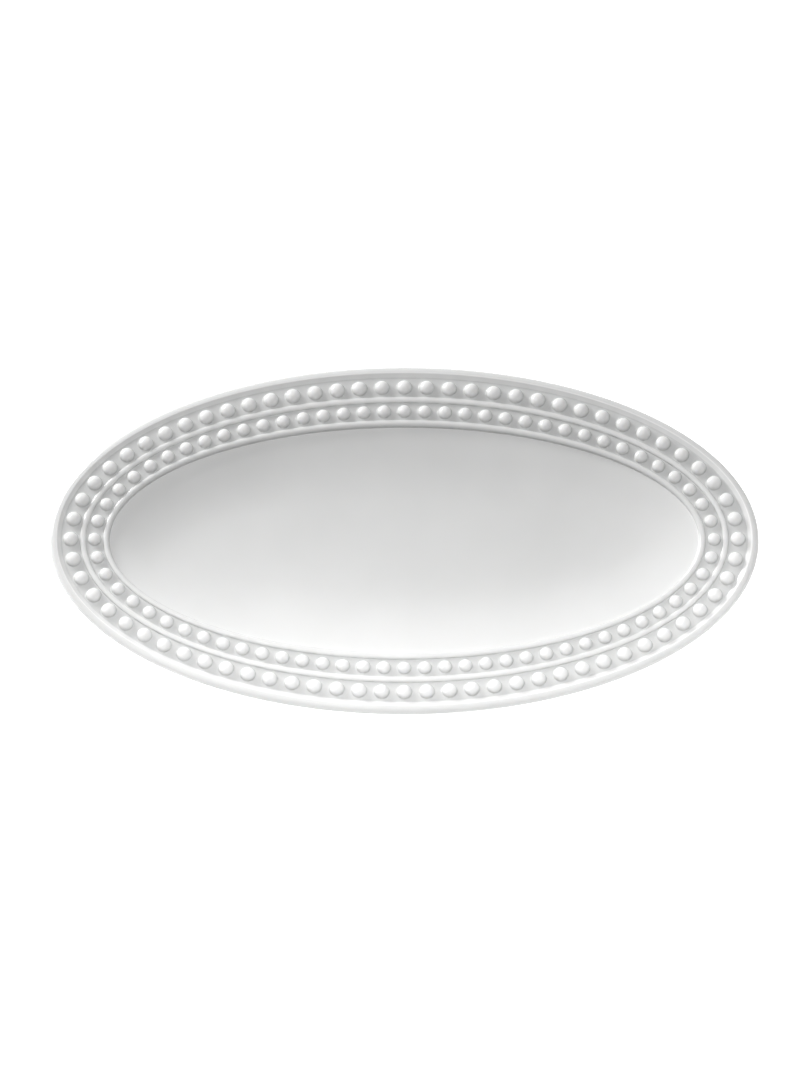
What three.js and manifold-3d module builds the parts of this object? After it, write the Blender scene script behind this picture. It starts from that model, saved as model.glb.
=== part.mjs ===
// An oval porcelain serving platter with two rows of raised pearls round its rim.
// Millimetres, +Z up, +X along the length. The origin is on the table, under the middle of the platter.
//
// A section of the platter is drawn as points of (inset, height). The inset is measured inwards from the
// outer edge at the two ends of the oval. Along the sides every inset is widened by SIDE_RATIO, so each
// band of the rim is an ellipse of its own and all of them keep their order round the oval.

import * as THREE from "three";
import { mergeVertices } from "three/addons/utils/BufferGeometryUtils.js";
import Module from "manifold-3d";

const wasm = await Module();
wasm.setup();

// Overall size
const LENGTH = 360;
const WIDTH = 194;
const SIDE_RATIO = 1.11;

// Bands of the rim, from the outer edge inwards
const LIP_WIDTH = 6;
const LIP_CREST_INSET = 2.9;
const LIP_HEIGHT = 1.4;
const LIP_EDGE_THICKNESS = 5.2;
const FILLET_WIDTH = 3.4;
const FILLET_HEIGHT = 1.3;

// Pearls, and the thin ribbon that each row of them stands on
const PEARL_COUNT = 72;
const OUTER_PEARL_DIAMETER = 8.4;
const OUTER_PEARL_HEIGHT = 3.3;
const INNER_PEARL_DIAMETER = 7.6;
const INNER_PEARL_HEIGHT = 3;
const PEARL_MARGIN = 0.35;
const PEARL_SUNK = 0.3;
const RIBBON_THICKNESS = 0.8;

// Rim flange, well and foot
const RIM_RISE = 0.6;
const RIM_THICKNESS = 5;
const SEAM_THICKNESS = 6.5;
const STEP_RUN = 0.8;
const STEP_DROP = 1.2;
const COVE_WIDTH = 34;
const COVE_STRAIGHT = 12;
const COVE_RISE = 5.5;
const FLOOR_THICKNESS = 5;
const FOOT_INSET = 12;
const FOOT_MARGIN = 2;
const FOOT_WIDTH = 5;
const FOOT_HEIGHT = 5;
const FOOT_ROUND = 1;

// The slip joint left open between two luted pieces
const JOINT_GAP = 0.3;
const HALF_GAP = JOINT_GAP / 2;

// Facets round the oval and on each curve of a section, and how finely arcs and vertices are told apart
const STATIONS = 72;
const LIP_SLOPE_STEPS = 3;
const LIP_ROLL_STEPS = 6;
const FILLET_STEPS = 4;
const COVE_STEPS = 4;
const BELLY_STEPS = 4;
const PEARL_SIDES = 8;
const PEARL_STEPS = 3;
const ARC_SAMPLES = 50;
const MERGE_DISTANCE = 1e-4;

// Where each band starts, as an inset from the outer edge
const outerRibbonStart = LIP_WIDTH;
const middleFilletStart = outerRibbonStart + OUTER_PEARL_DIAMETER + 2 * PEARL_MARGIN;
const innerRibbonStart = middleFilletStart + FILLET_WIDTH;
const innerFilletStart = innerRibbonStart + INNER_PEARL_DIAMETER + 2 * PEARL_MARGIN;
const stepStart = innerFilletStart + FILLET_WIDTH;
const wellEdge = stepStart + STEP_RUN;
const floorEdge = wellEdge + COVE_WIDTH;
const seam = innerFilletStart + FILLET_WIDTH / 2;
const footStart = wellEdge + FOOT_INSET;
const bellyEnd = footStart - FOOT_MARGIN;

// The cove falls from the edge of the well at an even slope, then curves out level with the floor.
const coveCurved = COVE_WIDTH - COVE_STRAIGHT;
const coveSlope = COVE_RISE / (COVE_STRAIGHT + coveCurved / 2);

// Heights above the table
const undersideZ = FOOT_HEIGHT;
const floorZ = undersideZ + FLOOR_THICKNESS;
const wellEdgeZ = floorZ + COVE_RISE;
const rimZ = wellEdgeZ + STEP_DROP;

// The channel floor, a cone that rises a little towards the lip, and the flange face under the ribbons.
const rimTop = (inset) => rimZ + RIM_RISE * (1 - inset / stepStart);
const rimSeat = (inset) => rimTop(inset) - RIBBON_THICKNESS - JOINT_GAP;
const flangeUnderZ = rimTop(LIP_WIDTH) - RIM_THICKNESS;
const seamUnderZ = rimZ - SEAM_THICKNESS;

// The ellipse of one inset.
function ovalAt(inset) {
  return { a: LENGTH / 2 - inset, b: WIDTH / 2 - SIDE_RATIO * inset };
}

// Angles that split the ellipse of one inset into equal arcs.
function evenAngles(inset, count) {
  const { a, b } = ovalAt(inset);
  const curve = new THREE.EllipseCurve(0, 0, a, b);
  curve.arcLengthDivisions = ARC_SAMPLES * count;
  return Array.from({ length: count }, (_, i) => 2 * Math.PI * curve.getUtoTmapping(i / count));
}

const stationAngles = evenAngles(innerRibbonStart, STATIONS);

function ovalPoint(angle, inset) {
  const { a, b } = ovalAt(inset);
  return [a * Math.cos(angle), b * Math.sin(angle)];
}

// Points of a curve of (inset, height), where the share along it runs from 0 to 1.
function curvePoints(steps, pointAt) {
  return Array.from({ length: steps + 1 }, (_, i) => pointAt(i / steps));
}

// Turns a section on a round lathe, then moves every turned point out to its own ellipse.
// A point whose inset is null lies on the middle axis.
function ovalLathe(section) {
  const profile = section.map(([inset, z]) => new THREE.Vector2(inset === null ? 0 : ovalAt(inset).a, z));
  const turned = new THREE.LatheGeometry(profile, STATIONS);
  const position = turned.getAttribute("position");
  for (let i = 0; i < position.count; i += 1) {
    const angle = stationAngles[Math.floor(i / section.length) % STATIONS];
    const [inset, z] = section[i % section.length];
    const [x, y] = inset === null ? [0, 0] : ovalPoint(angle, inset);
    position.setXYZ(i, x, y, z);
  }
  turned.computeVertexNormals();
  return turned;
}

// A ring whose section closes on itself.
const ovalRing = (section) => ovalLathe([...section, section[0]]);

function solidFrom(geometry) {
  const bare = geometry.clone();
  bare.deleteAttribute("normal");
  bare.deleteAttribute("uv");
  const merged = mergeVertices(bare, MERGE_DISTANCE);
  const vertProperties = new Float32Array(merged.getAttribute("position").array);
  const triVerts = new Uint32Array(merged.index.array);
  return new wasm.Manifold(new wasm.Mesh({ numProp: 3, vertProperties, triVerts }));
}

function geometryFrom(solid) {
  const mesh = solid.getMesh();
  const geometry = new THREE.BufferGeometry();
  geometry.setAttribute("position", new THREE.BufferAttribute(mesh.vertProperties, 3));
  geometry.setIndex(new THREE.BufferAttribute(mesh.triVerts, 1));
  geometry.computeVertexNormals();
  return geometry;
}

// The pressed dish: a flat floor, a cove rising to the edge of the well, and a small step up to the seat
// of the inner fillet. Its belly curves down to the flat that the foot ring is luted to.
function wellDish() {
  const seat = [seam + HALF_GAP, rimSeat(seam)];
  const belly = curvePoints(BELLY_STEPS, (share) => [
    bellyEnd + (seam + HALF_GAP - bellyEnd) * share,
    undersideZ + (seamUnderZ - undersideZ) * (1 - Math.cos(Math.PI * share)) / 2,
  ]);
  const cove = curvePoints(COVE_STEPS, (share) => {
    const out = coveCurved * (1 - share);
    return [floorEdge - out, floorZ + coveSlope * out ** 2 / (2 * coveCurved)];
  });
  const stepTop = [stepStart, rimSeat(stepStart)];
  const edge = [wellEdge, wellEdgeZ];
  return ovalLathe([[null, undersideZ], ...belly, seat, stepTop, edge, ...cove, [null, floorZ]]);
}

// The flat flange that carries the bands of the rim.
function rimFlange() {
  const outer = LIP_WIDTH + HALF_GAP;
  const inner = seam - HALF_GAP;
  return ovalRing([
    [outer, flangeUnderZ],
    [outer, rimSeat(outer)],
    [inner, rimSeat(inner)],
    [inner, seamUnderZ],
  ]);
}

// The rounded edge, butted against the outside of the flange.
function lipRoll() {
  const crestZ = rimTop(LIP_WIDTH) + LIP_HEIGHT;
  const middleZ = crestZ - LIP_EDGE_THICKNESS / 2;
  const butt = LIP_WIDTH - HALF_GAP;
  const roll = curvePoints(LIP_ROLL_STEPS, (share) => {
    const angle = Math.PI * (share - 0.5);
    return [
      LIP_CREST_INSET * (1 - Math.cos(angle)),
      middleZ + (LIP_EDGE_THICKNESS / 2) * Math.sin(angle),
    ];
  });
  const slope = curvePoints(LIP_SLOPE_STEPS, (share) => [
    LIP_CREST_INSET + (butt - LIP_CREST_INSET) * share,
    crestZ - LIP_HEIGHT * (1 - Math.cos(Math.PI * share)) / 2,
  ]);
  return ovalRing([[butt, flangeUnderZ], ...roll, ...slope.slice(1)]);
}

// A half-round fillet standing on the flange.
function fillet(start) {
  const half = FILLET_WIDTH / 2 - HALF_GAP;
  const middle = start + FILLET_WIDTH / 2;
  const seatZ = rimSeat(middle) + JOINT_GAP;
  const crown = curvePoints(FILLET_STEPS, (share) => [
    middle - half * Math.cos(Math.PI * share),
    rimTop(middle) + FILLET_HEIGHT * Math.sin(Math.PI * share),
  ]);
  return ovalRing([[middle + half, seatZ], [middle - half, seatZ], ...crown]);
}

// One pearl: a round dome closed by a flat disc a little below the ribbon's face.
function pearl(diameter, height) {
  const dome = curvePoints(PEARL_STEPS, (share) => {
    const angle = share * Math.PI / 2;
    return [diameter / 2 * Math.cos(angle), (height + PEARL_SUNK) * Math.sin(angle)];
  });
  dome[PEARL_STEPS][0] = 0;
  const profile = [[0, 0], ...dome].map(([radius, z]) => new THREE.Vector2(radius, z));
  return new THREE.LatheGeometry(profile, PEARL_SIDES).rotateX(Math.PI / 2);
}

// A row of pearls joined to its ribbon, the pearls at equal steps along their own ellipse.
function pearlBand(start, diameter, height) {
  const end = start + diameter + 2 * PEARL_MARGIN;
  const row = (start + end) / 2;
  const outer = start + HALF_GAP;
  const inner = end - HALF_GAP;
  let band = solidFrom(ovalRing([
    [outer, rimTop(outer) - RIBBON_THICKNESS],
    [outer, rimTop(outer)],
    [inner, rimTop(inner)],
    [inner, rimTop(inner) - RIBBON_THICKNESS],
  ]));
  for (const angle of evenAngles(row, PEARL_COUNT)) {
    const [x, y] = ovalPoint(angle, row);
    const placed = pearl(diameter, height).rotateZ(angle).translate(x, y, rimTop(row) - PEARL_SUNK);
    band = band.add(solidFrom(placed));
  }
  return geometryFrom(band);
}

// The foot that the platter stands on, with a flat sole and rounded edges.
function footRing() {
  const end = footStart + FOOT_WIDTH;
  return ovalRing([
    [footStart + FOOT_ROUND, 0],
    [footStart, FOOT_ROUND],
    [footStart, undersideZ],
    [end, undersideZ],
    [end, FOOT_ROUND],
    [end - FOOT_ROUND, 0],
  ]);
}

const glazed = () => new THREE.MeshStandardMaterial({ color: 0xf3f2ee, roughness: 0.12, metalness: 0 });
const biscuit = () => new THREE.MeshStandardMaterial({ color: 0xeae6dc, roughness: 0.75, metalness: 0 });

function piece(name, geometry, material) {
  const mesh = new THREE.Mesh(geometry, material);
  mesh.name = name;
  return mesh;
}

const platter = new THREE.Group();
platter.add(
  piece("well_dish", wellDish(), glazed()),
  piece("rim_flange", rimFlange(), glazed()),
  piece("lip_roll", lipRoll(), glazed()),
  piece("outer_pearl_band", pearlBand(outerRibbonStart, OUTER_PEARL_DIAMETER, OUTER_PEARL_HEIGHT), glazed()),
  piece("middle_fillet", fillet(middleFilletStart), glazed()),
  piece("inner_pearl_band", pearlBand(innerRibbonStart, INNER_PEARL_DIAMETER, INNER_PEARL_HEIGHT), glazed()),
  piece("inner_fillet", fillet(innerFilletStart), glazed()),
  piece("foot_ring", footRing(), biscuit()),
);

export default platter;
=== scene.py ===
# %% [markdown]
# # An oval porcelain platter with a pearl border
#
# A pressed platter is one skin of glossy glaze over white clay: a shallow well, two rows of round pearls
# between thin fillets, a rounded lip and a foot ring. In this lesson every piece is a surface worked out as
# whole numpy arrays, on the frame that the CAD model gives, so that nothing has to be fitted afterwards.

# %% Load the frame
import math

import bmesh
import bpy
import numpy as np
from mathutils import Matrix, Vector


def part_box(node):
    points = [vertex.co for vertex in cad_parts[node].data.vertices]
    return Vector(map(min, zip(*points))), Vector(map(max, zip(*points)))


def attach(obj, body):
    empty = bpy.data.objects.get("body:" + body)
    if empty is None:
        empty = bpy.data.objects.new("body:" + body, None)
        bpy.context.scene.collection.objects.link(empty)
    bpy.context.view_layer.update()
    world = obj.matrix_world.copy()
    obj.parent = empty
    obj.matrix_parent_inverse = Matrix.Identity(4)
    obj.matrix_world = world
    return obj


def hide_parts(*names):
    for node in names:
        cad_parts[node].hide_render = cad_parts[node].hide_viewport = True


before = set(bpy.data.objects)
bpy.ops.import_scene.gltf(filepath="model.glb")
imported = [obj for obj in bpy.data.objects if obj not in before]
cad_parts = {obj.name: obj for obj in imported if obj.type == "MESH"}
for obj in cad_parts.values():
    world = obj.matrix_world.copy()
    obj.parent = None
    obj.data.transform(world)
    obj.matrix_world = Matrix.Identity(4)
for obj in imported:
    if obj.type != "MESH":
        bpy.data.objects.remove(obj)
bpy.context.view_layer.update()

# %% [markdown]
# ## Reading sizes off the frame
#
# A potter measures a platter from its edge inwards, so a place on the rim is an inset: how far it lies from
# the outer edge, measured at the two ends of the oval. The boxes of the CAD nodes give where each band
# begins and how high it stands. We could type these numbers in again, but reading them means that the looks
# always follow the construction.

# %% Measure the bands of the rim
MM = 0.001
JOINT_GAP = 0.3
RIBBON_THICKNESS = 0.8


def low_corner(node):
    """The lowest corner of a CAD node's box, as x, y and z in millimetres."""
    return np.array(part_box(node)[0]) / MM


def high_corner(node):
    """The highest corner of a CAD node's box, as x, y and z in millimetres."""
    return np.array(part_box(node)[1]) / MM


half_length, half_width, lip_top = high_corner("lip_roll")


def outer_inset(node):
    """How far a node's outer edge lies inside the platter's edge, at the end of the oval."""
    return half_length - high_corner(node)[0]


outer_ribbon_start = outer_inset("outer_pearl_band")
middle_fillet_start = outer_inset("middle_fillet") - JOINT_GAP
inner_ribbon_start = outer_inset("inner_pearl_band")
inner_fillet_start = outer_inset("inner_fillet") - JOINT_GAP
outer_ribbon_end = middle_fillet_start
middle_fillet_end = inner_ribbon_start
inner_ribbon_end = inner_fillet_start
fillet_width = middle_fillet_end - middle_fillet_start - JOINT_GAP
step_start = inner_fillet_start + JOINT_GAP / 2 + fillet_width
side_ratio = (half_width - high_corner("outer_pearl_band")[1]) / outer_ribbon_start
print(f"fillets {fillet_width:.2f} mm wide, well begins {step_start:.2f} mm in, side ratio {side_ratio:.3f}")

# %% [markdown]
# The channels that the pearls stand in are a very flat cone, which the two ribbons under the pearls lie on.
# Two heights are enough to know the whole cone. The seam, where flange and dish were luted together, runs
# under the middle of the inner fillet.

# %% Heights of the channel, the seam and the underside
channel_outer_z = low_corner("outer_pearl_band")[2] + RIBBON_THICKNESS
channel_inner_z = low_corner("inner_pearl_band")[2] + RIBBON_THICKNESS
channel_fall = (channel_inner_z - channel_outer_z) / (inner_ribbon_end - outer_ribbon_end)
seam_inset = outer_inset("well_dish") - JOINT_GAP / 2
flange_under_z = low_corner("lip_roll")[2]
seam_under_z = low_corner("rim_flange")[2]
under_fall = (seam_under_z - flange_under_z) / (seam_inset - outer_ribbon_start)
foot_start = outer_inset("foot_ring")
foot_height = high_corner("foot_ring")[2]


def channel_z(inset):
    """Height of the channel floor: a straight line through the two ribbons."""
    return channel_outer_z + channel_fall * (inset - outer_ribbon_end)


def under_z(inset):
    """Height of the flange's underside: a straight line from the lip to the seam."""
    return flange_under_z + under_fall * (inset - outer_ribbon_start)


print(f"channel from {channel_z(outer_ribbon_start):.2f} mm at the lip to {channel_z(step_start):.2f} mm")

# %% [markdown]
# ## A family of ovals
#
# Every band of the rim is an ellipse of its own. If all insets were equal round the platter, the bands would
# look thin at the sides, so the real mould widens them there. One formula with that ratio gives all of them.
# Points spread evenly by angle would crowd at the ends, so a second function spreads them evenly by length.

# %% Ovals and even steps round them
CHORDS = 20000
STATIONS = 720


def oval(angle, inset):
    """x is (half length - inset) times the cosine, y is (half width - ratio times inset) times the sine."""
    x = (half_length - inset) * np.cos(angle)
    y = (half_width - side_ratio * inset) * np.sin(angle)
    return x, y


def even_angles(share, inset):
    """The angle at each share of the way round an oval: short chords are added up and read backwards."""
    fine = np.linspace(0, 2 * np.pi, CHORDS + 1)
    x, y = oval(fine, inset)
    way = np.concatenate([[0], np.cumsum(np.hypot(np.diff(x), np.diff(y)))])
    return np.interp(np.mod(share, 1), way / way[-1], fine)


station_angle = even_angles(np.arange(STATIONS) / STATIONS, middle_fillet_start)
print(f"{STATIONS} stations round the oval")

# %% [markdown]
# ## From arrays to a mesh
#
# A lathe turns a section round an axis. Here the section is carried round the oval instead: each of its
# points becomes a ring, and neighbouring rings are joined by four-cornered faces. Seams and poles are closed
# by merging the points that coincide. Edges sharper than a limit keep two normals, so a hidden wall does
# not shade the glaze next to it.

# %% Rings, faces and pieces
MERGE_DISTANCE = 1e-7
SHARP_ANGLE = math.radians(50)


def rings_of(section):
    """A section of (inset, height) rows carried round the oval, as an array of ring, station and x, y, z."""
    x, y = oval(station_angle[None, :], section[:, :1])
    z = np.broadcast_to(section[:, 1:], x.shape)
    return np.stack([x, y, z], axis=-1)


def ring_faces(rings, stations, closed):
    """Corner numbers of the faces between each ring and the next, and from last to first if closed."""
    ring = np.arange(rings if closed else rings - 1)[:, None]
    station = np.arange(stations)[None, :]
    after = (station + 1) % stations
    here = ring * stations
    there = (ring + 1) % rings * stations
    return np.stack([here + station, here + after, there + after, there + station], axis=-1).reshape(-1, 4)


def make_piece(name, points, faces, glaze_and_shade):
    """A closed mesh from points in millimetres, with a value for glaze and painted shade at each point."""
    mesh = bpy.data.meshes.new(name)
    mesh.vertices.add(len(points))
    mesh.vertices.foreach_set("co", (points * MM).astype(np.float32).ravel())
    mesh.loops.add(faces.size)
    mesh.loops.foreach_set("vertex_index", faces.astype(np.int32).ravel())
    mesh.polygons.add(len(faces))
    mesh.polygons.foreach_set("loop_start", np.arange(0, faces.size, faces.shape[1], dtype=np.int32))
    mesh.update(calc_edges=True)
    mesh.attributes.new("glaze_and_shade", "FLOAT", "POINT").data.foreach_set("value", glaze_and_shade.astype(np.float32))
    work = bmesh.new()
    work.from_mesh(mesh)
    bmesh.ops.remove_doubles(work, verts=work.verts, dist=MERGE_DISTANCE)
    bmesh.ops.recalc_face_normals(work, faces=work.faces)
    work.to_mesh(mesh)
    work.free()
    mesh.polygons.foreach_set("use_smooth", np.ones(len(mesh.polygons), dtype=bool))
    mesh.set_sharp_from_angle(angle=SHARP_ANGLE)
    piece = bpy.data.objects.new(name, mesh)
    bpy.context.scene.collection.objects.link(piece)
    print(f"{name}: {len(mesh.vertices)} points, {len(mesh.polygons)} faces")
    return piece


def ring_piece(name, section, glaze_and_shade):
    """A ring whose section closes on itself, with one value of glaze and painted shade for each section
    point.
    """
    rings = rings_of(section)
    faces = ring_faces(len(section), STATIONS, closed=True)
    return make_piece(name, rings.reshape(-1, 3), faces, np.repeat(glaze_and_shade, STATIONS))


# %% [markdown]
# ## The dome and the soft curve
#
# Pearl and fillet share one shape: a dome that stands on a small hollow, because glaze runs down and fills
# the corner at its foot. Carried along the oval it is a fillet, and turned about its own axis it is a pearl.
# Where a stretch only has to leave one line and meet another smoothly, a cubic curve does it. One value
# follows from height: low down it stands for pooled glaze and painted shade, at the crowns for thin glaze and
# a painted highlight.

# %% Dome, cubic curve, and glaze with painted shade
DOME_STEPS = 9
COVE_STEPS = 4
CROWN_HEIGHT = 2.2
PLAIN_GLAZE_AND_SHADE = 0.5


def dome(reach, height, cove, power):
    """From the crown out to the foot: cove + (height - cove) x (1 - s squared) to a power, where s runs from
    0 to 1 of reach - cove, then a hollow quarter circle of radius cove. A power of one half is an ellipse."""
    turn = np.linspace(0, np.pi / 2, DOME_STEPS + 1)
    hollow = np.linspace(0, np.pi / 2, COVE_STEPS + 1)[1:]
    out = np.concatenate([(reach - cove) * np.sin(turn), reach - cove * np.cos(hollow)])
    up = np.concatenate([cove + (height - cove) * np.cos(turn) ** (2 * power), cove - cove * np.sin(hollow)])
    return out, up


def cubic(start, pull, push, end, steps):
    """A cubic curve from start to end: the four points weighted by the terms of ((1 - t) + t) cubed."""
    t = np.linspace(0, 1, steps + 1)[:, None]
    points = [np.array(point, dtype=float) for point in (start, pull, push, end)]
    weights = [(1 - t) ** 3, 3 * (1 - t) ** 2 * t, 3 * (1 - t) * t**2, t**3]
    return sum(weight * point for weight, point in zip(weights, points))


def glaze_and_shade_at(height):
    """From 1 in the channel, pooled glaze and painted shade, evenly down to 0 at crown height, thin glaze and
    painted highlight.
    """
    return np.clip(1 - height / CROWN_HEIGHT, 0, 1)


print("heights of a dome 1 mm high:", np.round(dome(2, 1, 0.3, 0.5)[1], 2))

# %% [markdown]
# ## The lip
#
# The plain edge of the platter is a low roll with a crest. Outside the crest its face is nearly level and
# then turns over the edge. Inside the crest a straight slope runs down to the channel, so light from behind
# leaves a bright line along the crest and a shadow within it. The crest is painted whitest, partly as glaze
# breaking thin and partly as a painted highlight, and the foot of the slope greyer, partly as pooled glaze
# and partly as painted shade in the crease. The underside runs on into the flange.

# %% Lip
LIP_CREST_INSET = 3.4
LIP_EDGE_THICKNESS = 5.2
LIP_UNDERCUT = 1.6
LIP_FACE_SLOPE = 0.14
LIP_FACE_RUN = 1.6
LIP_SHOULDER = 0.8
LIP_CREST_ROUND = 0.35
LIP_COVE = 0.5
LIP_BREAK_AND_HIGHLIGHT = 0.35
LIP_POOL_AND_SHADE = 0.3
LIP_STEPS = 14
CREST_STEPS = 6


def lip_section():
    """Four cubic curves: underside, outer face, crest and hollow. The crest rounds off the corner where two
    straight slopes would meet. That corner is raised, so that the rounded crest just reaches the top."""
    foot = outer_ribbon_start
    middle_z = lip_top - LIP_EDGE_THICKNESS / 2
    inner_slope = (lip_top - channel_z(foot)) / (foot - LIP_COVE / 2 - LIP_CREST_INSET)
    corner_z = lip_top + LIP_CREST_ROUND * LIP_FACE_SLOPE * inner_slope / (LIP_FACE_SLOPE + inner_slope)

    def outside(run):
        """A point on the outer slope, so far from the corner."""
        return LIP_CREST_INSET - run, corner_z - LIP_FACE_SLOPE * run

    def inside(run):
        """A point on the inner slope, so far from the corner."""
        return LIP_CREST_INSET + run, corner_z - inner_slope * run

    underside = cubic(
        (foot, under_z(foot)),
        (foot / 2, under_z(foot / 2)),
        (0, middle_z - LIP_UNDERCUT),
        (0, middle_z),
        LIP_STEPS,
    )
    shoulder = (0, middle_z + LIP_SHOULDER * (lip_top - middle_z))
    face = cubic((0, middle_z), shoulder, outside(LIP_FACE_RUN), outside(LIP_CREST_ROUND), LIP_STEPS)
    near = LIP_CREST_ROUND / 3
    crest = cubic(outside(LIP_CREST_ROUND), outside(near), inside(near), inside(LIP_CREST_ROUND), CREST_STEPS)
    hollow_start = foot - 2 * LIP_COVE
    hollow = cubic(
        inside(hollow_start - LIP_CREST_INSET),
        inside(hollow_start + LIP_COVE - LIP_CREST_INSET),
        (foot - LIP_COVE / 2, channel_z(foot)),
        (foot, channel_z(foot)),
        CREST_STEPS,
    )
    return np.concatenate([underside, face[1:], crest[1:], hollow])


section = lip_section()
# Painted shade: the foot of the inner slope is greyer, partly pooled glaze and partly the shade in the
# crease.
inner_side = section[:, 0] > LIP_CREST_INSET
above_under = section[:, 1] > under_z(section[:, 0]) + LIP_COVE
above_channel = section[:, 1] - channel_z(outer_ribbon_start)
pooled_and_shaded = inner_side & above_under & (above_channel < LIP_POOL_AND_SHADE)
lip_glaze_and_shade = np.where(pooled_and_shaded, glaze_and_shade_at(above_channel), PLAIN_GLAZE_AND_SHADE)
# Painted highlight: a thin band along the crest takes the whitest value, partly glaze breaking thin, partly
# the crest's highlight.
lip_glaze_and_shade[(np.abs(section[:, 0] - LIP_CREST_INSET) < LIP_BREAK_AND_HIGHLIGHT) & above_under] = 0
lip = ring_piece("lip", section, lip_glaze_and_shade)

# %% [markdown]
# ## The fillets
#
# Two thin ridges frame the pearls. The middle one is a dome on both sides. The inner one is a dome on its
# outer side only, because on the other side it drops into the well.

# %% Fillets
FILLET_COVE = 0.4
FILLET_POWER = 0.4
TURN_STEPS = 9


def fillet_side(start, end, top):
    """Half of a fillet, from the crown at start to the foot at end, as (inset, height) rows."""
    out, up = dome(abs(end - start), top - channel_z(start), FILLET_COVE, FILLET_POWER)
    inset = start + np.sign(end - start) * out
    return np.stack([inset, channel_z(inset) + up], axis=1)


def seated(crown):
    """Closes a crown with two walls and a flat seat at the depth of the ribbons."""
    ends = crown[[-1, 0]]
    seat = np.stack([ends[:, 0], channel_z(ends[:, 0]) - RIBBON_THICKNESS], axis=1)
    return np.concatenate([crown, seat])


def fillet_glaze_and_shade(section):
    """Value of glaze and painted shade at each section point, by its height above the channel: greyer feet,
    whiter crown.
    """
    return glaze_and_shade_at(section[:, 1] - channel_z(section[:, 0]))


middle_inset = (middle_fillet_start + middle_fillet_end) / 2
middle_top = high_corner("middle_fillet")[2]
outer_half = fillet_side(middle_inset, middle_fillet_start, middle_top)
inner_half = fillet_side(middle_inset, middle_fillet_end, middle_top)
section = seated(np.concatenate([outer_half[::-1], inner_half[1:]]))
middle_fillet = ring_piece("fillet_between_pearls", section, fillet_glaze_and_shade(section))

# %% Inner fillet
inner_inset = seam_inset
inner_top = high_corner("inner_fillet")[2]
outer_half = fillet_side(inner_inset, inner_fillet_start, inner_top)
turn = np.linspace(np.pi / 2, 0, TURN_STEPS + 1)[1:]
well_half = np.stack([
    inner_inset + (step_start - inner_inset) * np.cos(turn),
    channel_z(step_start) + (inner_top - channel_z(step_start)) * np.sin(turn),
], axis=1)
section = seated(np.concatenate([outer_half[::-1], well_half]))
well_side = section[:, 0] > inner_inset
inner_fillet = ring_piece("fillet_at_well", section, np.where(well_side, PLAIN_GLAZE_AND_SHADE, fillet_glaze_and_shade(section)))

# %% [markdown]
# ## The pearls
#
# A row of pearls is one skin. Each pearl sits in a cell of the ribbon: rays run from its crown out to the
# cell's border, and rings follow the dome down to its foot and then open out to meet the border.
# Neighbouring cells share their border points, so merging them gives one unbroken surface. Separate balls
# pushed into a ribbon would be quicker, but would show a hard line where glaze has a soft one. The crown
# of each pearl is a little different, as pressed clay is.

# %% Pearl rows
PEARL_COUNT = 72
PEARL_COVE = 0.45
PEARL_POWER = 0.55
PEARL_UNEVENNESS = 0.025
PEARL_CLEARANCE = 0.05
BORDER_ALONG = 10
BORDER_ACROSS = 8
OPENING_STEPS = 2
SEED = 7


def cell_border():
    """One walk round a cell: shares of a pearl step along the row, and 0 to 1 across the ribbon."""
    along = np.linspace(-0.5, 0.5, BORDER_ALONG + 1)
    across = np.linspace(0, 1, BORDER_ACROSS + 1)
    ends = np.ones(BORDER_ACROSS) / 2
    outer = np.zeros(BORDER_ALONG)
    inner = np.ones(BORDER_ALONG)
    border_along = np.concatenate([along[:-1], ends, along[:0:-1], -ends])
    border_across = np.concatenate([outer, across[:-1], inner, across[:0:-1]])
    return border_along, border_across


def pearl_points(start, end, top, chance):
    """Points by pearl, ring and ray: crown + ray x reach, at the height of the channel + the dome."""
    row = (start + end) / 2
    foot = (end - start) / 2 - PEARL_CLEARANCE
    border_along, border_across = cell_border()
    share = (np.arange(PEARL_COUNT)[:, None] + border_along) / PEARL_COUNT
    border_inset = np.broadcast_to(start + (end - start) * border_across, share.shape)
    border = np.stack(oval(even_angles(share, row), border_inset), axis=-1)
    crown = np.stack(oval(even_angles(np.arange(PEARL_COUNT) / PEARL_COUNT, row), row), axis=-1)[:, None]
    distance = np.linalg.norm(border - crown, axis=-1)
    out, up = dome(foot, top - channel_z(row), PEARL_COVE, PEARL_POWER)
    size = 1 - PEARL_UNEVENNESS * chance.random((2, PEARL_COUNT, 1, 1))
    reach = np.broadcast_to(out[:, None] * size[0], (PEARL_COUNT, len(out), share.shape[1]))
    opening = np.linspace(0, 1, OPENING_STEPS + 1)[1:, None]
    opened = reach[:, -1:] + (distance[:, None] - reach[:, -1:]) * opening
    reach = np.concatenate([reach, opened], axis=1)
    rise = np.concatenate([up[:, None] * size[1], np.zeros((PEARL_COUNT, OPENING_STEPS, 1))], axis=1)
    way = reach / distance[:, None]
    flat = crown[:, None] + (border - crown)[:, None] * way[..., None]
    height = channel_z(row + (border_inset - row)[:, None] * way) + rise
    points = np.concatenate([flat, height[..., None]], axis=-1)
    # Painted highlight on each crown and painted shade at each foot, partly thin and pooled glaze, by rise.
    return points, np.broadcast_to(glaze_and_shade_at(rise), height.shape)


def ribbon_back(start, end):
    """Rings that close the skin: down the outer wall, across the hidden back and up the inner wall."""
    share = (np.arange(PEARL_COUNT * BORDER_ALONG) / BORDER_ALONG - 0.5) / PEARL_COUNT
    angle = even_angles(share, (start + end) / 2)
    inset = np.array([start, start, end, end])[:, None]
    depth = np.array([0, RIBBON_THICKNESS, RIBBON_THICKNESS, 0])[:, None]
    x, y = oval(angle[None], inset)
    return np.stack([x, y, np.broadcast_to(channel_z(inset) - depth, x.shape)], axis=-1)


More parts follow.
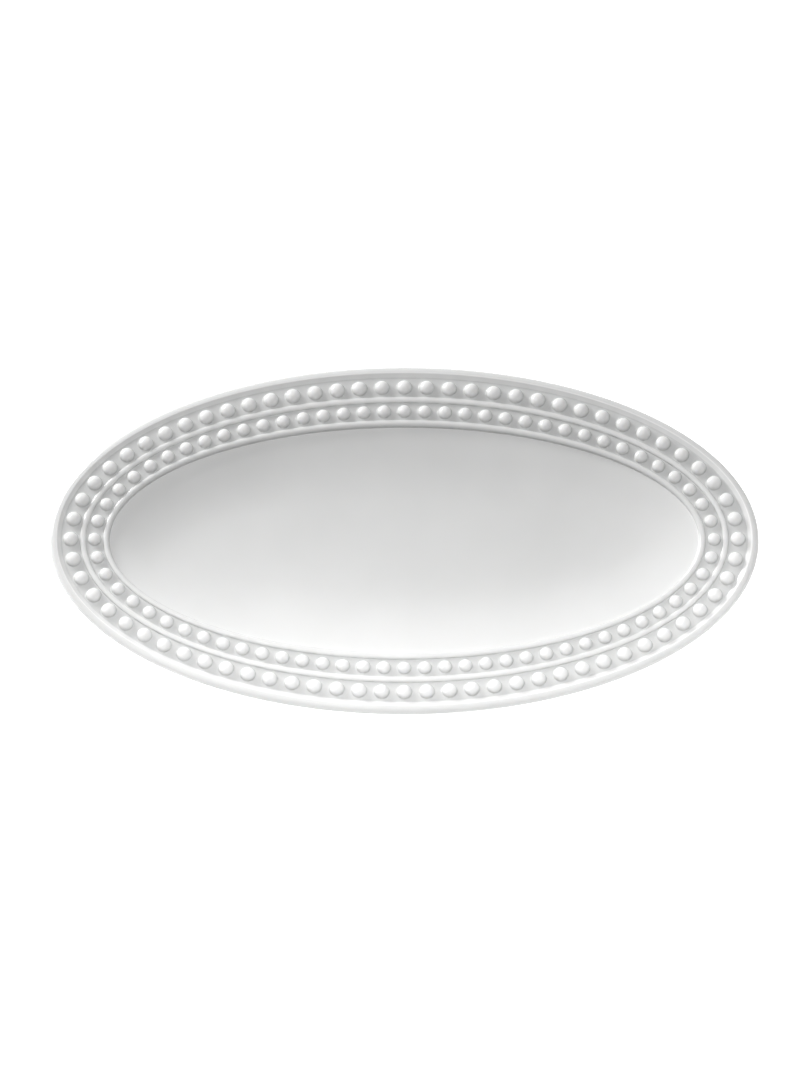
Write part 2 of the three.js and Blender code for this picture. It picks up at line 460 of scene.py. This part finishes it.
def pearl_row(name, start, end, top, chance):
    """Cells of all pearls and the back of the ribbon, joined into one closed piece."""
    cells, glaze_and_shade = pearl_points(start, end, top, chance)
    back = ribbon_back(start, end)
    count, rings, rays, _ = cells.shape
    one_cell = ring_faces(rings, rays, closed=False)
    cell_faces = one_cell[None] + (np.arange(count) * rings * rays)[:, None, None]
    back_faces = ring_faces(*back.shape[:2], closed=False) + count * rings * rays
    points = np.concatenate([cells.reshape(-1, 3), back.reshape(-1, 3)])
    faces = np.concatenate([cell_faces.reshape(-1, 4), back_faces])
    return make_piece(name, points, faces, np.concatenate([glaze_and_shade.ravel(), np.ones(back[..., 0].size)]))


chance = np.random.default_rng(SEED)
outer_crown = high_corner("outer_pearl_band")[2]
outer_pearls = pearl_row("outer_pearls", outer_ribbon_start, outer_ribbon_end, outer_crown, chance)
inner_crown = high_corner("inner_pearl_band")[2]
inner_pearls = pearl_row("inner_pearls", inner_ribbon_start, inner_ribbon_end, inner_crown, chance)

# %% [markdown]
# ## The well
#
# The well drops from the inner fillet by a short wall, painted as white as the crowns as painted light that
# lifts the shade on it, falls on an even slope and then eases out level with the floor. Underneath, the belly
# swells down to the flat that the foot stands on. Both skins end in the middle, where the ovals shrink to a
# point.

# %% Well
FLOOR_THICKNESS = 5
STEP_RUN = 0.45
COVE_WIDTH = 34
COVE_STRAIGHT = 12
COVE_RISE = 5.5
WELL_EDGE_RUN = 0.8
BELLY_RUN = 12.5
BELLY_PULL = 5
BELLY_STEPS = 18
WALL_STRAIGHT = 0.7
WALL_EASE = 0.3
WALL_STEPS = 8
# Painted light: the short wall takes the whitest value, lifting the shade that falls on it.
WALL_PAINTED_LIGHT = 0
SLOPE_STEPS = 6
EASE_STEPS = 20
FLOOR_RINGS = 12

floor_z = foot_height + FLOOR_THICKNESS
floor_edge = step_start + WELL_EDGE_RUN + COVE_WIDTH
ease_width = COVE_WIDTH - COVE_STRAIGHT
cove_slope = COVE_RISE / (COVE_STRAIGHT + ease_width / 2)


def cove_z(inset):
    """Height of the well: a parabola next to the floor, then its tangent up to the edge of the well."""
    out = floor_edge - inset
    near = np.minimum(out, ease_width)
    return floor_z + cove_slope * near**2 / (2 * ease_width) + cove_slope * (out - near)


def to_the_middle(ring, rings):
    """Rings that shrink one ring to its middle point at the same height."""
    share = np.linspace(1, 0, rings + 1)[1:, None, None]
    return ring[None] * np.concatenate([share, share, np.ones_like(share)], axis=-1)


wall_foot = step_start + STEP_RUN
wall = cubic(
    (step_start, channel_z(step_start)),
    (step_start, channel_z(step_start) - WALL_STRAIGHT),
    (wall_foot - WALL_EASE, cove_z(wall_foot - WALL_EASE)),
    (wall_foot, cove_z(wall_foot)),
    WALL_STEPS,
)
cove_inset = np.concatenate([
    np.linspace(wall_foot, floor_edge - ease_width, SLOPE_STEPS + 1)[1:],
    np.linspace(floor_edge - ease_width, floor_edge, EASE_STEPS + 1)[1:],
])
cove = np.stack([cove_inset, cove_z(cove_inset)], axis=1)
seat_z = channel_z(seam_inset) - RIBBON_THICKNESS
seat = np.array([[seam_inset, seat_z], [step_start, seat_z]])
belly_end = seam_inset + BELLY_RUN
belly = cubic(
    (belly_end, foot_height),
    (belly_end - BELLY_PULL, foot_height),
    (seam_inset + BELLY_PULL, under_z(seam_inset + BELLY_PULL)),
    (seam_inset, seam_under_z),
    BELLY_STEPS,
)
section = np.concatenate([belly, seat, wall, cove])
well_glaze_and_shade = np.concatenate([
    np.full(len(belly) + len(seat), PLAIN_GLAZE_AND_SHADE),
    np.full(len(wall) - 1, WALL_PAINTED_LIGHT),
    np.full(len(cove) + 1, PLAIN_GLAZE_AND_SHADE),
])
rings = rings_of(section)
under = to_the_middle(rings[0], FLOOR_RINGS)[::-1]
above = to_the_middle(rings[-1], FLOOR_RINGS)
rings = np.concatenate([under, rings, above])
faces = ring_faces(len(rings), STATIONS, closed=False)
well_glaze_and_shade = np.pad(well_glaze_and_shade, FLOOR_RINGS, mode="edge")
well = make_piece("well", rings.reshape(-1, 3), faces, np.repeat(well_glaze_and_shade, STATIONS))

# %% [markdown]
# ## The flange and the foot
#
# The flange carries the bands. Only its underside shows, but it is a whole ring, so that the platter has
# its weight and thickness from any side. The foot is a ring with a hollow where it meets the belly, a slight
# taper and a sole with rounded edges.

# %% Flange
FLANGE_STEPS = 12
flange_inset = np.linspace(outer_ribbon_start, seam_inset, FLANGE_STEPS + 1)
flange_top = np.stack([flange_inset, channel_z(flange_inset) - RIBBON_THICKNESS], axis=1)
flange_under = np.stack([flange_inset, under_z(flange_inset)], axis=1)[::-1]
section = np.concatenate([flange_top, flange_under])
flange = ring_piece("rim_flange_body", section, np.full(len(section), PLAIN_GLAZE_AND_SHADE))

# %% Foot
FOOT_WIDTH = 5
FOOT_COVE = 1
FOOT_TAPER = 0.4
FOOT_SUNK = 0.3
SOLE_ROUND = 0.8
ROUND_STEPS = 6


def foot_side():
    """Offsets out from the foot's middle line, from the belly down: a hollow, a taper and a rounded edge."""
    half = FOOT_WIDTH / 2
    turn = np.linspace(0, np.pi / 2, ROUND_STEPS + 1)
    hollow = np.stack([
        half + FOOT_COVE * (1 - np.sin(turn)),
        foot_height - FOOT_COVE * (1 - np.cos(turn)),
    ], axis=1)
    edge = np.stack([
        half - FOOT_TAPER - SOLE_ROUND * (1 - np.cos(turn)),
        SOLE_ROUND * (1 - np.sin(turn)),
    ], axis=1)
    return np.concatenate([[[half + FOOT_COVE, foot_height + FOOT_SUNK]], hollow, edge])


side = foot_side()
foot_middle = foot_start + FOOT_WIDTH / 2
mirror = np.array([-1, 1])
section = np.concatenate([side * mirror, side[::-1]]) + np.array([foot_middle, 0])
foot = ring_piece("foot", section, np.full(len(section), PLAIN_GLAZE_AND_SHADE))

# %% [markdown]
# ## Glaze
#
# Porcelain looks deep because a clear glassy coat lies over white clay. One principled shader does this: a
# nearly white body that lets a little light in, and a smooth glassy surface. In the kiln the glaze runs off
# the crowns, where the white clay shows through, and gathers in the channels, where it is greyer. The colour
# also carries painted light: crowns are painted whiter as a painted highlight, and channels and creases a
# good deal greyer as painted shade. So each point carries one value for glaze and painted shade together.
# Slow noise moves tone and gloss a little, and a very faint ripple keeps reflections alive.

# %% Node helpers
NOISE_RANGE = (0.3, 0.7)
SOFT_DETAIL = 2
GLOSS_DETAIL = 3
GRAIN_DETAIL = 4
MIX_SHARE, MIX_FIRST, MIX_SECOND = 0, 6, 7
MIX_RESULT = 2


def node(tree, kind, **inputs):
    """Adds a shader node and sets its sockets by name."""
    made = tree.nodes.new(kind)
    for name, value in inputs.items():
        made.inputs[name.replace("_", " ")].default_value = value
    return made


def noise(tree, coordinates, scale, detail):
    """Soft noise in object space, where scale counts patches to the metre. Returns its value socket."""
    made = node(tree, "ShaderNodeTexNoise", Scale=scale, Detail=detail)
    tree.links.new(coordinates, made.inputs["Vector"])
    return made.outputs["Fac"]


def ranged(tree, value, old, new, shape="LINEAR"):
    """Moves a value from an old range to a new one, and holds it at the ends."""
    made = node(tree, "ShaderNodeMapRange", From_Min=old[0], From_Max=old[1], To_Min=new[0], To_Max=new[1])
    made.interpolation_type = shape
    tree.links.new(value, made.inputs["Value"])
    return made.outputs["Result"]


def combined(tree, operation, first, second):
    """Adds or multiplies two values."""
    made = tree.nodes.new("ShaderNodeMath")
    made.operation = operation
    tree.links.new(first, made.inputs[0])
    tree.links.new(second, made.inputs[1])
    return made.outputs["Value"]


def mixed(tree, share, first, second):
    """Mixes two colours, on the mix node's colour sockets. Either may be a socket or four numbers."""
    made = tree.nodes.new("ShaderNodeMix")
    made.data_type = "RGBA"
    for value, place in ((share, MIX_SHARE), (first, MIX_FIRST), (second, MIX_SECOND)):
        if isinstance(value, bpy.types.NodeSocket):
            tree.links.new(value, made.inputs[place])
        else:
            made.inputs[place].default_value = value
    return made.outputs[MIX_RESULT]


def bumped(tree, shader, height, strength, distance):
    """Tilts the shader's normal by the slope of a height value."""
    made = node(tree, "ShaderNodeBump", Strength=strength, Distance=distance)
    tree.links.new(height, made.inputs["Height"])
    tree.links.new(made.outputs["Normal"], shader.inputs["Normal"])


def new_material(name):
    """A material with its tree, its principled shader and the object coordinates to draw patterns with."""
    material = bpy.data.materials.new(name)
    material.use_nodes = True
    tree = material.node_tree
    shader = tree.nodes["Principled BSDF"]
    coordinates = tree.nodes.new("ShaderNodeTexCoord").outputs["Object"]
    return material, tree, shader, coordinates


print("node helpers ready")

# %% Clear glaze on white porcelain
# Painted highlight and shade: crowns whiter and channels much greyer than the plain middle, partly thin and
# pooled glaze.
CROWN_WHITE_AND_HIGHLIGHT = (0.95, 0.95, 0.945, 1)
POOL_GREY_AND_SHADE = (0.67, 0.675, 0.67, 1)
GLAZE_DRIFT = (-0.06, 0.06)
DRIFT_SCALE = 22
GLAZE_ROUGHNESS = (0.1, 0.17)
DULLING_SCALE = 60
RIPPLE_SCALE = 140
RIPPLE_STRENGTH = 0.25
RIPPLE_HEIGHT = 0.00004
GLASS_IOR = 1.52
BODY_DEPTH = 0.0012
BODY_WEIGHT = 0.12
BODY_RADIUS = (1, 0.95, 0.85)


def glaze_with_painted_shade():
    """White body under a glassy skin: the glaze and painted shade value, moved by slow noise, mixes white to
    grey.
    """
    material, tree, shader, coordinates = new_material("glaze_with_painted_shade")
    glaze_and_shade_node = node(tree, "ShaderNodeAttribute")
    glaze_and_shade_node.attribute_name = "glaze_and_shade"
    drift = ranged(tree, noise(tree, coordinates, DRIFT_SCALE, SOFT_DETAIL), NOISE_RANGE, GLAZE_DRIFT)
    glaze_and_shade_mix = combined(tree, "ADD", glaze_and_shade_node.outputs["Fac"], drift)
    tree.links.new(mixed(tree, glaze_and_shade_mix, CROWN_WHITE_AND_HIGHLIGHT, POOL_GREY_AND_SHADE), shader.inputs["Base Color"])
    dulling = noise(tree, coordinates, DULLING_SCALE, GLOSS_DETAIL)
    tree.links.new(ranged(tree, dulling, NOISE_RANGE, GLAZE_ROUGHNESS), shader.inputs["Roughness"])
    ripple = noise(tree, coordinates, RIPPLE_SCALE, SOFT_DETAIL)
    bumped(tree, shader, ripple, RIPPLE_STRENGTH, RIPPLE_HEIGHT)
    shader.inputs["IOR"].default_value = GLASS_IOR
    shader.inputs["Subsurface Weight"].default_value = BODY_WEIGHT
    shader.inputs["Subsurface Radius"].default_value = BODY_RADIUS
    shader.inputs["Subsurface Scale"].default_value = BODY_DEPTH
    return material


glaze_finish = glaze_with_painted_shade()
print("material:", glaze_finish.name)

# %% [markdown]
# ## The bare sole
#
# A platter is fired standing on its foot, so the sole is wiped free of glaze or it would stick to the shelf.
# The bare clay there is matt, warmer and finely grained. Height above the table decides between glaze and
# clay, and noise makes the line between them waver as a wiped edge does.

# %% Foot material
BARE_CLAY = (0.74, 0.70, 0.63, 1)
CLAY_SPECKS = (0.62, 0.57, 0.49, 1)
GLAZED_CLAY = (0.79, 0.79, 0.785, 1)
GLAZE_LINE = 0.0011
GLAZE_LINE_BLUR = 0.0002
GLAZE_LINE_WAVER = (-0.0006, 0.0006)
WAVER_SCALE = 160
GRAIN_SCALE = 2600
GRAIN_STRENGTH = 0.5
GRAIN_HEIGHT = 0.00008
FOOT_ROUGHNESS = (0.13, 0.78)


def wiped_foot():
    """Glaze above a wavering line, bare clay with fine grain below it."""
    material, tree, shader, coordinates = new_material("wiped_foot")
    place = tree.nodes.new("ShaderNodeSeparateXYZ")
    tree.links.new(coordinates, place.inputs["Vector"])
    waver = ranged(tree, noise(tree, coordinates, WAVER_SCALE, SOFT_DETAIL), NOISE_RANGE, GLAZE_LINE_WAVER)
    height = combined(tree, "ADD", place.outputs["Z"], waver)
    edge = (GLAZE_LINE - GLAZE_LINE_BLUR, GLAZE_LINE + GLAZE_LINE_BLUR)
    bare = ranged(tree, height, edge, (1, 0), "SMOOTHSTEP")
    grain = noise(tree, coordinates, GRAIN_SCALE, GRAIN_DETAIL)
    clay = mixed(tree, ranged(tree, grain, NOISE_RANGE, (0, 1)), BARE_CLAY, CLAY_SPECKS)
    tree.links.new(mixed(tree, bare, GLAZED_CLAY, clay), shader.inputs["Base Color"])
    tree.links.new(ranged(tree, bare, (0, 1), FOOT_ROUGHNESS), shader.inputs["Roughness"])
    bumped(tree, shader, combined(tree, "MULTIPLY", grain, bare), GRAIN_STRENGTH, GRAIN_HEIGHT)
    shader.inputs["IOR"].default_value = GLASS_IOR
    return material


foot_finish = wiped_foot()
print("material:", foot_finish.name)

# %% [markdown]
# ## Every piece to its place in the frame
#
# Each piece stands for one CAD node, rides on the platter's only body and takes its finish.

# %% Assign
PIECES = (
    (well, "well_dish", "glazed_porcelain", glaze_finish),
    (flange, "rim_flange", "glazed_porcelain", glaze_finish),
    (lip, "lip_roll", "glazed_porcelain", glaze_finish),
    (outer_pearls, "outer_pearl_band", "glazed_porcelain", glaze_finish),
    (middle_fillet, "middle_fillet", "glazed_porcelain", glaze_finish),
    (inner_pearls, "inner_pearl_band", "glazed_porcelain", glaze_finish),
    (inner_fillet, "inner_fillet", "glazed_porcelain", glaze_finish),
    (foot, "foot_ring", "biscuit_foot", foot_finish),
)
for piece, cad_node, slot, finish in PIECES:
    piece.data.materials.append(finish)
    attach(piece, "root")
    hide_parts(cad_node)
print(len(PIECES), "pieces ride on the platter's body")

# %% [markdown]
# ## Floor, light and camera
#
# The photograph is a catalogue picture on pure white, taken from in front and high above with a long lens.
# The floor is a pale sweep that glows a little, as a lit acrylic table does. A key light stands low behind on
# the left, so that every pearl is bright on its upper left and shaded on its lower right. A broad light hangs
# overhead and fills the well. A strip with a grid in front of it reaches only the near rim, which is almost
# white in the photograph, and a small one does the same for the right end. All but the key are kept out of
# reflections, as a tent would hide them.

# %% Floor
FLOOR_HALF = 12
FLOOR_WHITE = (0.93, 0.93, 0.93, 1)
FLOOR_GLOW = 0.6
FLOOR_ROUGHNESS = 0.9
floor_mesh = bpy.data.meshes.new("floor")
corners = [(-FLOOR_HALF, -FLOOR_HALF, 0), (FLOOR_HALF, -FLOOR_HALF, 0)]
corners += [(FLOOR_HALF, FLOOR_HALF, 0), (-FLOOR_HALF, FLOOR_HALF, 0)]
floor_mesh.from_pydata(corners, [], [(0, 1, 2, 3)])
floor = bpy.data.objects.new("floor", floor_mesh)
bpy.context.scene.collection.objects.link(floor)
sweep, _, sweep_shader, _ = new_material("pale_sweep")
sweep_shader.inputs["Base Color"].default_value = FLOOR_WHITE
sweep_shader.inputs["Roughness"].default_value = FLOOR_ROUGHNESS
sweep_shader.inputs["Emission Color"].default_value = FLOOR_WHITE
sweep_shader.inputs["Emission Strength"].default_value = FLOOR_GLOW
floor_mesh.materials.append(sweep)
print("floor", 2 * FLOOR_HALF, "m across")

# %% Light
KEY_PLACE = (-1.02, 0.98, 0.46)
KEY_SIZE = (0.8, 0.4)
KEY_POWER = 17.5
OVERHEAD_PLACE = (0, 0, 1.5)
OVERHEAD_SIZE = (1, 1)
OVERHEAD_POWER = 12.3
STRIP_PLACE = (0, -0.1, 0.19)
STRIP_SIZE = (0.9, 0.1)
STRIP_POWER = 0.18
END_PLACE = (0.18, -0.03, 0.16)
END_SIZE = (0.06, 0.14)
END_POWER = 0.008
GRID_SPREAD = math.radians(65)
ROOM_WHITE = (1, 1, 1, 1)
ROOM_BRIGHTNESS = 0.09
PLATTER_MIDDLE = (0, 0, 0)


def below(place):
    """The point on the floor straight under a place."""
    return place[0], place[1], 0


def area_light(name, place, target, size, power):
    """A soft light at place, in metres, turned to look at target. Size is its length and its width."""
    data = bpy.data.lights.new(name, "AREA")
    data.shape = "RECTANGLE"
    data.size, data.size_y = size
    data.energy = power
    light = bpy.data.objects.new(name, data)
    light.location = place
    away = np.array(target, dtype=float) - np.array(place, dtype=float)
    light.rotation_euler = Vector(away).to_track_quat("-Z", "Y").to_euler()
    light.visible_camera = False
    bpy.context.scene.collection.objects.link(light)
    return light


world = bpy.data.worlds.new("white_room")
world.use_nodes = True
world.node_tree.nodes["Background"].inputs["Color"].default_value = ROOM_WHITE
world.node_tree.nodes["Background"].inputs["Strength"].default_value = ROOM_BRIGHTNESS
bpy.context.scene.world = world
key = area_light("key", KEY_PLACE, PLATTER_MIDDLE, KEY_SIZE, KEY_POWER)
overhead = area_light("overhead", OVERHEAD_PLACE, PLATTER_MIDDLE, OVERHEAD_SIZE, OVERHEAD_POWER)
strip = area_light("gridded_strip", STRIP_PLACE, below(STRIP_PLACE), STRIP_SIZE, STRIP_POWER)
end = area_light("gridded_end_light", END_PLACE, below(END_PLACE), END_SIZE, END_POWER)
for light in (strip, end):
    light.data.spread = GRID_SPREAD
for light in (overhead, strip, end):
    light.visible_glossy = False
bpy.context.scene.view_settings.view_transform = "Standard"
print("lights:", ", ".join(light.name for light in (key, overhead, strip, end)))

# %% [markdown]
# The camera stands as far off as a long lens needs, because near and far pearls look almost equally large in
# the photograph. How long the platter is there, in pixels, gives the lens, and where its middle lies there
# gives the aim.

# %% Camera
PHOTO_HEIGHT_PX = 1080
PHOTO_MIDDLE_PX = np.array([405, 540])
PLATTER_SPAN_PX = 708.8
PLATTER_MIDDLE_PX = np.array([404.3, 539.2])
RIM_MIDDLE = np.array([0, 0, 17.2])
CAMERA_ELEVATION = math.radians(65)
CAMERA_DISTANCE = 8
SENSOR = 36

px_per_mm = PLATTER_SPAN_PX / (2 * half_length)
right = np.array([1, 0, 0])
up = np.array([0, math.sin(CAMERA_ELEVATION), math.cos(CAMERA_ELEVATION)])
back = np.array([0, -math.cos(CAMERA_ELEVATION), math.sin(CAMERA_ELEVATION)])
offset_px = PLATTER_MIDDLE_PX - PHOTO_MIDDLE_PX
aim = (RIM_MIDDLE - right * offset_px[0] / px_per_mm + up * offset_px[1] / px_per_mm) * MM
camera_data = bpy.data.cameras.new("camera")
camera_data.sensor_width = SENSOR
camera_data.lens = SENSOR * px_per_mm / MM * CAMERA_DISTANCE / PHOTO_HEIGHT_PX
camera = bpy.data.objects.new("camera", camera_data)
camera.location = aim + back * CAMERA_DISTANCE
camera.rotation_euler = (math.pi / 2 - CAMERA_ELEVATION, 0, 0)
bpy.context.scene.collection.objects.link(camera)
bpy.context.scene.camera = camera
print(f"lens {camera_data.lens:.0f} mm at {CAMERA_DISTANCE} m")
